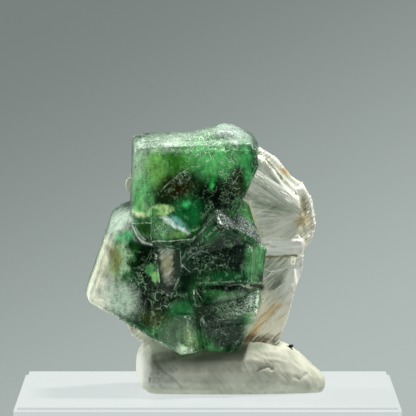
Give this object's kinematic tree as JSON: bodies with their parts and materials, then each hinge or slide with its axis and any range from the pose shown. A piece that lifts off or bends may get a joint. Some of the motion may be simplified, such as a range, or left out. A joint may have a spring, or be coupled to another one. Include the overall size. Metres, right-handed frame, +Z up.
{
  "type": "fluorite on muscovite mineral specimen",
  "caption": "Green fluorite cubes grown together on a pale block of muscovite mica, held upright in a lump of mounting putty with a flat underside.",
  "frame": {"origin": "middle of the bounding box's footprint, on the surface that the putty stands on", "axes": "+Z up, -Y towards the viewer of the crystals' main faces, +X to the viewer's right, where the mica is"},
  "size_m": [0.0326, 0.0236, 0.0364],
  "materials": {
    "fluorite": "gloss",
    "muscovite": "satin",
    "putty": "matte"
  },
  "bodies": {
    "root": {"fluorite_crystals": "fluorite", "muscovite_matrix": "muscovite", "mounting_putty": "putty"}
  },
  "joints": []
}
